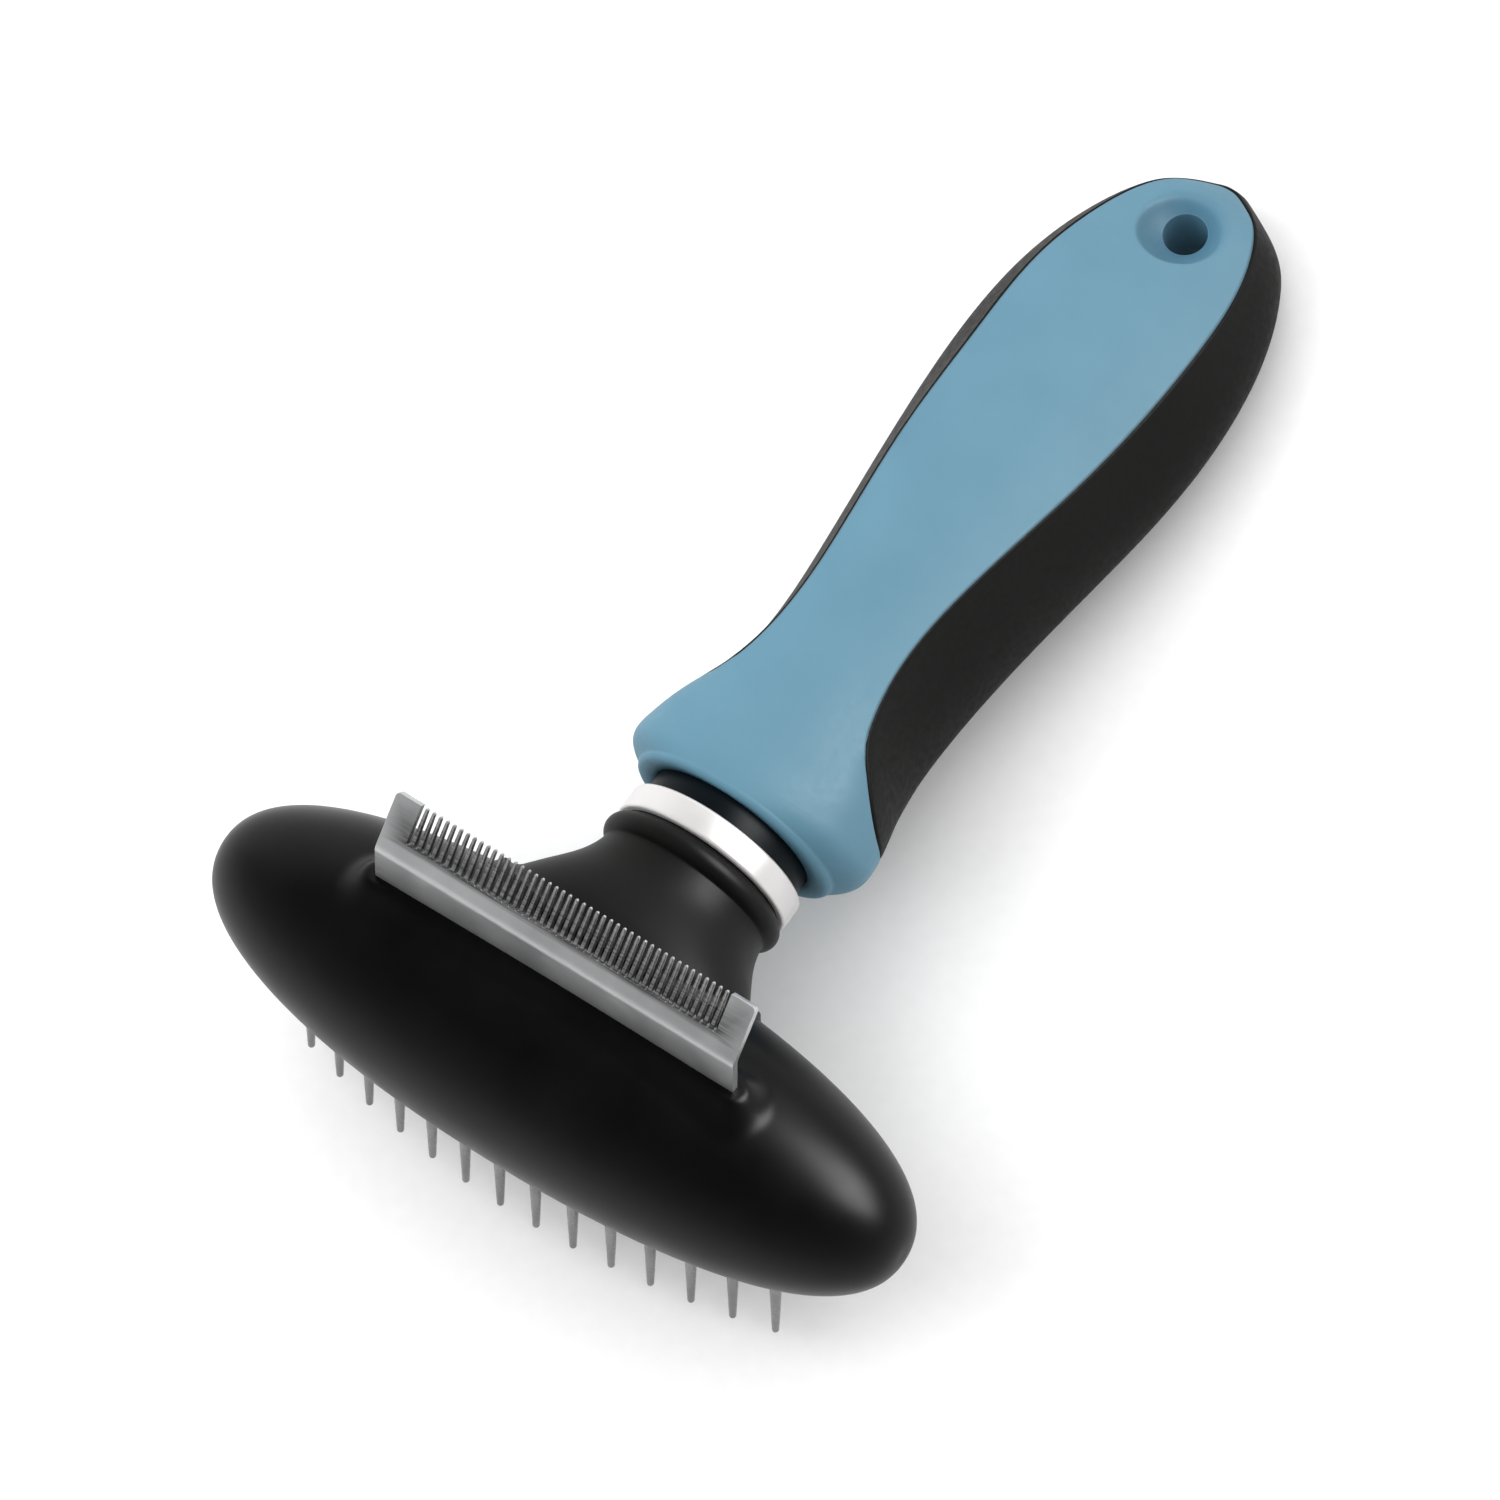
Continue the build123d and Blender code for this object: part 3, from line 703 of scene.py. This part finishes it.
finish_piece(neck_piece(), neck_satin, "rake", "neck_satin", "neck")

ring_outline = rounded([(SPIGOT_RADIUS, -RING_LENGTH), (RING_RADIUS, -RING_LENGTH), (RING_RADIUS, 0),
                        (SPIGOT_RADIUS, 0)], 0.45)
finish_piece(lathe("ferrule", ring_outline), ring_steel, "rake", "ring_chrome", "ferrule_ring")

collar_end = COLLAR_LENGTH + COLLAR_TUCK
collar_outline = rounded([(SPIGOT_RADIUS, 0.02), (COLLAR_RADIUS, 0.02), (COLLAR_RADIUS, collar_end),
                          (SPIGOT_RADIUS, collar_end)], 0.3)
finish_piece(lathe("collar_band", collar_outline), collar_navy, "rake", "collar_navy", "collar")


# ---------------------------------------------------------------- grip
grip_values = smooth_through([row[0] for row in GRIP], [row[1:] for row in GRIP])


def grip_points(at, around):
    """Points on the grip; around is 0 at the top, 1 at the panel's edge, 2 at the side and 3 below."""
    at, around = np.broadcast_arrays(np.asarray(at, float), np.asarray(around, float))
    rows = grip_values(at)
    top, edge_x, edge_y, side_x, side_y, bottom = (rows[..., i] for i in range(6))
    lean_in = np.radians(rows[..., 6])
    lean_out = np.radians(rows[..., 7])
    reach_in = 0.35 * edge_x
    reach_out = 0.35 * (edge_y - side_y)
    size = np.abs(around)
    part = np.clip(size.astype(int), 0, 2)
    share = size - part
    x_corners = [
        (0 * top, 0.5 * edge_x, edge_x - reach_in * np.cos(lean_in), edge_x),
        (edge_x, edge_x + reach_out * np.cos(lean_out), side_x, side_x),
        (side_x, side_x, 0.55 * side_x, 0 * top),
    ]
    y_corners = [
        (top, top, edge_y + reach_in * np.sin(lean_in), edge_y),
        (edge_y, edge_y - reach_out * np.sin(lean_out), side_y + 0.35 * (edge_y - side_y), side_y),
        (side_y, side_y + 0.55 * (bottom - side_y), bottom, bottom),
    ]
    x = np.zeros_like(at)
    up = np.zeros_like(at)
    for number in range(3):
        here = part == number
        x = np.where(here, bezier(x_corners[number], share), x)
        up = np.where(here, bezier(y_corners[number], share), up)
    return np.stack([np.sign(around) * x, at, up], axis=-1)


def split_line():
    """The line between panel and shell, from the front corner round the end of the panel.

    Gives the distance along, the place around, and the distance along at which the rows of
    faces that start from it meet the top and the bottom of the grip.
    """
    turn = np.concatenate([[0], np.linspace(0.2, math.pi / 2, 48)])
    share = turn / (math.pi / 2)
    power = 2 / SPLIT_FULLNESS
    at = SPLIT_LEVEL - (SPLIT_LEVEL - SPLIT_FRONT) * np.cos(turn) ** power
    around = 2 - np.sin(turn) ** power
    top = SPLIT_FRONT - SPLIT_RISE + (SPLIT_LEVEL - SPLIT_FRONT + SPLIT_RISE) * share
    low = SPLIT_FRONT + SPLIT_SLANT + (SPLIT_LEVEL - SPLIT_FRONT - SPLIT_SLANT) * share
    level = np.concatenate([np.arange(SPLIT_LEVEL + 0.5, 90, 0.5), np.arange(90, PANEL_TAIL, 0.3)])
    share = np.linspace(0, 1, 22)
    tail = PANEL_TAIL + (PANEL_END - PANEL_TAIL) * np.sin(share * math.pi / 2)
    tail_around = np.abs(np.cos(share * math.pi / 2)) ** 0.77
    tail_low = PANEL_TAIL + (PANEL_END - PANEL_TAIL) * share
    return (np.concatenate([at, level, tail]), np.concatenate([around, np.ones_like(level), tail_around]),
            np.concatenate([top, level, tail]), np.concatenate([low, level, tail_low]))


split_at, split_around, split_top, split_low = split_line()
last_at = GRIP[-1][0]


def front_at(around):
    """Where the lip's piece ends: the line to the shell below the side, and a bow over the top."""
    size = np.abs(around)
    over = SPLIT_RISE * (1 - np.minimum(size / 2, 1) ** 2)
    return SPLIT_FRONT - over + SPLIT_SLANT * np.maximum(size - 2, 0) ** 2


def near_edge(count):
    """Shares from 0 to 1 that lie close together near 0."""
    return np.linspace(0, 1, count) ** 1.7


def dense(at, around):
    """Closely spaced points along a line on the grip."""
    places = np.arange(len(at))
    fine = np.linspace(0, len(at) - 1, 6 * len(at))
    return grip_points(np.interp(fine, places, at), np.interp(fine, places, around))


below = np.linspace(2, 3, 60)
boundary = np.concatenate([dense(split_at, split_around), dense(split_at, -split_around),
                           dense(front_at(below), below), dense(front_at(below), -below)])


def softened(at, around):
    """Points on the grip, with the crease beside the line eased out where the lip begins."""
    ease = np.clip((CREASE_FULL - at) / CREASE_EASE, 0, 1)[..., None]
    near = [grip_points(at, around + shift) for shift in (-0.12, -0.06, 0.06, 0.12)]
    here = grip_points(at, around)
    return here * (1 - ease) + (sum(near) + here) / 5 * ease


def rolled(at, around, side):
    """Points on the grip with the edge at the parting line rolled in; side is 1 for the shell."""
    at, around = np.broadcast_arrays(at, around)
    here = softened(at, around)
    toward = np.where(around < 0, -0.01, 0.01) * side
    along = softened(np.minimum(at + 0.03, last_at), around) - softened(at - 0.03, around)
    across = softened(at, around + toward) - here
    normal = np.cross(along, across)
    normal /= np.maximum(np.linalg.norm(normal, axis=-1, keepdims=True), 1e-12)
    values = grip_values(at)
    middle = np.stack([0 * at, at, (values[..., 0] + values[..., 5]) / 2], axis=-1)
    normal *= np.where(((here - middle) * normal).sum(axis=-1) < 0, -1, 1)[..., None]
    distance = nearest(here.reshape(-1, 3), boundary).reshape(at.shape)
    return here - normal * roll(distance, SPLIT_ROLL)[..., None]


def mark_grip(piece):
    """Stores nearness to the parting line and depth in the hang hole's dish, for the material."""
    local = local_points(piece, HANDLE)
    store(piece, "groove", 1 - nearest(local, boundary) / GROOVE_REACH)
    from_hole = np.hypot(local[:, 0], local[:, 1] - HOLE_AT)
    in_dish = (local[:, 2] > -5) & (from_hole > HOLE_RADIUS + 0.05)
    store(piece, "shade", np.where(in_dish, (DISH_RADIUS + 0.6 - from_hole) / 3.0, 0))


def skin_height(x, at, around):
    """Height of the grip at points given across and along, within a stretch of places around it."""
    heights = []
    for across, along in zip(x, at):
        line = grip_points(along, around)
        heights.append(np.interp(abs(across), line[:, 0], line[:, 2]))
    return np.array(heights)


def top_height(x, at):
    """Height of the panel's top."""
    return skin_height(x, at, np.linspace(0, 1, 60))


def bottom_height(x, at):
    """Height of the shell's back."""
    return skin_height(x, at, np.linspace(3, 2, 60))


def dished(x, at, radius):
    """Height of the panel's top with the ball-shaped dish round the hang hole."""
    ball = (DISH_RADIUS ** 2 + DISH_DEPTH ** 2) / (2 * DISH_DEPTH)
    bottom = DISH_TOP + ball - DISH_DEPTH - np.sqrt(np.maximum(ball ** 2 - radius ** 2, 0))
    return -smooth_max(-top_height(x, at), -bottom, DISH_BLEND)


def open_round(grid, reach, rings, height):
    """Points and faces of a grid whose block about the hang hole becomes rings round the hole."""
    rows, columns = grid.shape[:2]
    away = np.hypot(grid[..., 0], grid[..., 1] - HOLE_AT)
    inside = np.nonzero(np.abs(grid[:, columns // 2, 1] - HOLE_AT) < reach)[0]
    first, last = inside[0] - 1, inside[-1] + 1
    half = 1
    while away[first:last + 1, columns // 2 - half].min() < reach:
        half += 1
    left, right = columns // 2 - half, columns // 2 + half
    faces = []
    for number, face in enumerate(grid_faces(rows, columns)):
        row, column = divmod(number, columns - 1)
        if not (first <= row < last and left <= column < right):
            faces.append(face)
    round_block = ([(first, c) for c in range(left, right)]
                   + [(r, right) for r in range(first, last)]
                   + [(last, c) for c in range(right, left, -1)]
                   + [(r, left) for r in range(last, first, -1)])
    count = len(round_block)
    points = [tuple(p) for p in grid.reshape(-1, 3)]
    before = [r * columns + c for r, c in round_block]
    edge = np.array([grid[r, c] for r, c in round_block])
    angle = np.arctan2(edge[:, 1] - HOLE_AT, edge[:, 0])
    size = np.hypot(edge[:, 1] - HOLE_AT, edge[:, 0])
    spread = [size + (rings[0] - size) * share for share in (0.2, 0.4, 0.6, 0.8)]
    for ring in spread + [np.full(count, ring) for ring in rings]:
        x = ring * np.cos(angle)
        at = HOLE_AT + ring * np.sin(angle)
        start = len(points)
        points += [tuple(p) for p in np.stack([x, at, height(x, at, ring)], axis=1)]
        faces += bridge(before, range(start, start + count))
        before = list(range(start, start + count))
    return points, faces, before, angle


def bridge(first, second):
    """Quads between two closed rings of points."""
    count = len(first)
    return [(first[i], first[(i + 1) % count], second[(i + 1) % count], second[i]) for i in range(count)]


def panel_piece():
    """Blue panel: the lip all round the front, the top, and the liner of the hang hole."""
    # Top strip from the lip to the tail
    share = near_edge(46)
    half = split_around[:, None] * (1 - share)
    at = split_at[:, None] + (split_top - split_at)[:, None] * (1 - (1 - share) ** 2)
    strip = rolled(np.concatenate([at, at[:, -2::-1]], axis=1),
                   np.concatenate([half, -half[:, -2::-1]], axis=1), -1)

    rings = [*np.linspace(DISH_PATCH, 4.9, 11), *np.linspace(4.6, 3.4, 5),
             *(HOLE_RADIUS + gap for gap in (0.35, 0.2, 0.1, 0.04))]
    points, faces, before, angle = open_round(strip, DISH_PATCH, rings, dished)

    # Wall of the hole, then the liner's ring in the back of the shell
    rim = np.array([points[i] for i in before])

    def ring_points(radius, up):
        return np.stack([radius * np.cos(angle), HOLE_AT + radius * np.sin(angle), up], axis=1)

    wall = [ring_points(HOLE_RADIUS - inward, rim[:, 2] - down)
            for inward, down in ((0.0, 0.05), (0.015, 0.12), (0.02, 0.3))]
    low = []
    for radius in (*(HOLE_RADIUS + gap for gap in (0, 0.05, 0.2, 0.5, 1.0, 1.8)),
                   *(LINER_RADIUS - gap for gap in (1.0, 0.5, 0.3, 0.15, 0.07, 0.03))):
        flat = ring_points(radius, 0 * angle)
        sunk = roll(radius - HOLE_RADIUS, 0.5) + roll(LINER_RADIUS - 0.03 - radius, 0.35)
        low.append(ring_points(radius, bottom_height(flat[:, 0], flat[:, 1]) + sunk))
    between = [wall[-1] + (low[0] - wall[-1]) * share for share in (0.2, 0.4, 0.6, 0.8)]
    for ring in [*wall, *between, *low, low[-1] + [0, 0, 1.0]]:
        start = len(points)
        points += [tuple(p) for p in ring]
        faces += bridge(before, range(start, start + len(ring)))
        before = list(range(start, start + len(ring)))

    # Lip: full rings from the front face back to the line
    low_around = np.linspace(3, split_around[0], 60)[:-1]
    columns = np.concatenate([low_around, split_around[0] * (1 - share)])
    columns = np.concatenate([columns, -columns[::-1][1:]])
    steps = np.concatenate([np.linspace(0, 0.90, 24), 1 - 0.1 * (1 - np.linspace(0, 1, 16)[1:]) ** 1.5])
    start_at = GRIP[0][0] + LIP_ROUND
    at = start_at + (front_at(columns)[None] - start_at) * steps[:, None]
    lip = rolled(at, columns[None], -1)
    face = []
    first = grip_points(start_at, columns)
    middle = np.array([0, start_at, 0])
    spread = first - middle
    size = np.linalg.norm(spread, axis=1, keepdims=True)
    for turn in np.linspace(math.pi / 2, 0, 8)[:-1]:
        shrink = 1 - LIP_ROUND * (1 - math.cos(turn)) / size
        face.append(middle + spread * shrink - [0, LIP_ROUND * math.sin(turn), 0])
    inner = spread / size * (COLLAR_RADIUS + 0.12)
    face.insert(0, middle + inner - [0, LIP_ROUND, 0])
    face.insert(0, middle + inner + [0, 0.6, 0])
    lip = np.concatenate([np.array(face), lip], axis=0)
    faces += [tuple(v + len(points) for v in f) for f in grid_faces(*lip.shape[:2])]
    points += [tuple(p) for p in lip.reshape(-1, 3)]
    return make_piece("grip_panel_skin", points, faces, HANDLE, weld=0.004)


def shell_piece():
    """Black sides and back of the grip, with the rounded tail."""
    share = near_edge(64)
    bow = np.minimum(np.arange(len(split_at)) / 8, 1)[:, None]
    spread = (1 - bow) * share ** 2 + bow * (1 - (1 - share) ** 2)
    at = split_at[:, None] + (split_low - split_at)[:, None] * spread
    half = split_around[:, None] + (3 - split_around[:, None]) * share
    end_at = np.linspace(PANEL_END, last_at, 5)[1:, None] + 0 * share
    at = np.concatenate([at, end_at])
    half = np.concatenate([half, 3 * share + 0 * end_at])
    body = rolled(np.concatenate([at, at[:, -2::-1]], axis=1),
                  np.concatenate([half, -half[:, -2::-1]], axis=1), 1)

    def back(x, at, ring):
        return bottom_height(x, at) + roll(ring - LINER_RADIUS - 0.03, 0.4)

    rings = [LINER_RADIUS + gap for gap in (1.0, 0.8, 0.6, 0.5, 0.4, 0.3, 0.22, 0.16, 0.1, 0.05)]
    points, faces, before, _ = open_round(body, SHELL_PATCH, rings, back)
    start = len(points)
    points += [(points[i][0], points[i][1], points[i][2] + 1.0) for i in before]
    faces += bridge(before, range(start, start + len(before)))

    # Tail cap
    ring = grip_points(last_at, np.concatenate([3 * share, -3 * share[-2::-1]]))
    middle = np.array([0, last_at, (GRIP[-1][1] + GRIP[-1][6]) / 2])
    cap = np.array([middle + (ring - middle) * shrink + [0, 0.5 * (1 - shrink ** 2), 0]
                    for shrink in np.linspace(1, 0.04, 14)])
    start = len(points)
    faces += [tuple(v + start for v in f) for f in grid_faces(*cap.shape[:2])]
    faces.append(tuple(start + (len(cap) - 1) * len(ring) + i for i in range(len(ring) - 1)))
    points += [tuple(p) for p in cap.reshape(-1, 3)]
    return make_piece("grip_shell_skin", points, faces, HANDLE, weld=0.004)


panel = panel_piece()
apply_modifier(panel, "SOLIDIFY", thickness=SKIN * MM, offset=-1)
mark_grip(panel)
finish_piece(panel, grip_blue, "rake", "grip_blue", "grip_panel")
shell = shell_piece()
apply_modifier(shell, "SOLIDIFY", thickness=SKIN * MM, offset=-1)
mark_grip(shell)
finish_piece(shell, grip_black, "rake", "grip_black", "grip_shell")

# ---------------------------------------------------------------- CAD nodes that stay
kept = {"pin_plate": plate_gloss, "pin_retainer": inner_plastic, "plate_screws": screw_black,
        "clamp_screws": screw_steel, "neck_screws": screw_steel, "blade_clamp": inner_plastic,
        "tang": screw_steel, "tang_pin": screw_steel, "handle_core": inner_plastic}
for name, node in frame["nodes"].items():
    material = kept.get(name, pin_steel if "_pin_" in name else None)
    if material:
        node.data.materials.clear()
        node.data.materials.append(material)

# ---------------------------------------------------------------- floor, light and camera
FLOOR = 4.0                    # half width, metres
floor_mesh = bpy.data.meshes.new("floor")
floor_corners = [(-FLOOR, -FLOOR, 0), (FLOOR, -FLOOR, 0), (FLOOR, FLOOR, 0), (-FLOOR, FLOOR, 0)]
floor_mesh.from_pydata(floor_corners, [], [(0, 1, 2, 3)])
floor = bpy.data.objects.new("floor", floor_mesh)
bpy.context.scene.collection.objects.link(floor)
paper = Finish("floor_paper")
speck = paper.noise(2.0, 3.0)
floor_mesh.materials.append(paper.set(paper.colours(speck, (0.3, (0.90,) * 3), (0.7, (0.92,) * 3)),
                                      paper.span(speck, 0, 1, 0.85, 0.95)))

world = bpy.data.worlds.new("studio")
bpy.context.scene.world = world
world.use_nodes = True
sky = world.node_tree.nodes
height = sky.new("ShaderNodeSeparateXYZ")
fade = sky.new("ShaderNodeMapRange")
fade.inputs["From Max"].default_value = 0.75
fade.inputs["To Min"].default_value = 0.85
fade.inputs["To Max"].default_value = 0.10
world.node_tree.links.new(sky.new("ShaderNodeTexCoord").outputs["Generated"], height.inputs["Vector"])
world.node_tree.links.new(height.outputs["Z"], fade.inputs["Value"])
world.node_tree.links.new(fade.outputs["Result"], sky["Background"].inputs["Strength"])
sky["Background"].inputs["Color"].default_value = (1, 1, 1, 1)


def area_light(name, place, target, size, power, glossy=True, diffuse=True):
    """A soft rectangular light aimed at a point; place and size in metres, power in watts."""
    lamp = bpy.data.lights.new(name, "AREA")
    lamp.shape = "RECTANGLE"
    lamp.size, lamp.size_y = size
    lamp.energy = power
    light = bpy.data.objects.new(name, lamp)
    light.location = place
    light.rotation_euler = (Vector(target) - Vector(place)).to_track_quat("-Z", "Y").to_euler()
    light.visible_camera = False
    light.visible_glossy = glossy
    light.visible_diffuse = diffuse
    bpy.context.scene.collection.objects.link(light)


area_light("top_fill", (-0.1, 0.05, 1.7), (0, 0.05, 0), (2.6, 2.6), 34, glossy=False)
area_light("front_fill", (-0.85, -0.70, 1.15), (0, 0, 0.03), (1.3, 1.3), 14, glossy=False)
area_light("back_softbox", (-0.25, 1.15, 1.00), (0, 0, 0.03), (1.5, 1.0), 6)
area_light("right_softbox", (1.20, 0.35, 0.65), (0, 0, 0.03), (1.4, 1.2), 5, glossy=False)
area_light("left_softbox", (-1.25, 0.60, 0.55), (0, 0, 0.03), (1.3, 1.0), 3)
area_light("end_glint", (0.78, 0.70, 1.00), (0, 0, 0.03), (1.0, 0.8), 54, diffuse=False)

VIEW_BACK = (0.330, -0.455, 0.827)    # direction from the head to the camera, in the head's axes
VIEW_RIGHT = (0.809, 0.588, 0.0)
LOOK_AT = (23.06, 35.54)               # from the head's centre to the view's: right and up, mm
VIEW_WIDTH = 179.2                     # width seen at the head, mm
DISTANCE = 2.2                         # from the camera to the head, metres
turn = np.array(HEAD.to_3x3()) / MM
back = Vector(turn @ np.array(VIEW_BACK)).normalized()
right = Vector(turn @ np.array(VIEW_RIGHT)).normalized()
up = back.cross(right)
camera_data = bpy.data.cameras.new("camera")
camera_data.sensor_width = 36
camera_data.lens = 36 * DISTANCE / (VIEW_WIDTH * MM)
camera_data.clip_start = 0.1
camera_data.clip_end = 20
camera = bpy.data.objects.new("camera", camera_data)
centre = head_origin + right * (LOOK_AT[0] * MM) + up * (LOOK_AT[1] * MM)
facing = Matrix((right, up, back)).transposed().to_4x4()
camera.matrix_world = Matrix.Translation(centre + back * DISTANCE) @ facing
bpy.context.scene.collection.objects.link(camera)
bpy.context.scene.camera = camera
bpy.context.scene.view_settings.view_transform = "Standard"
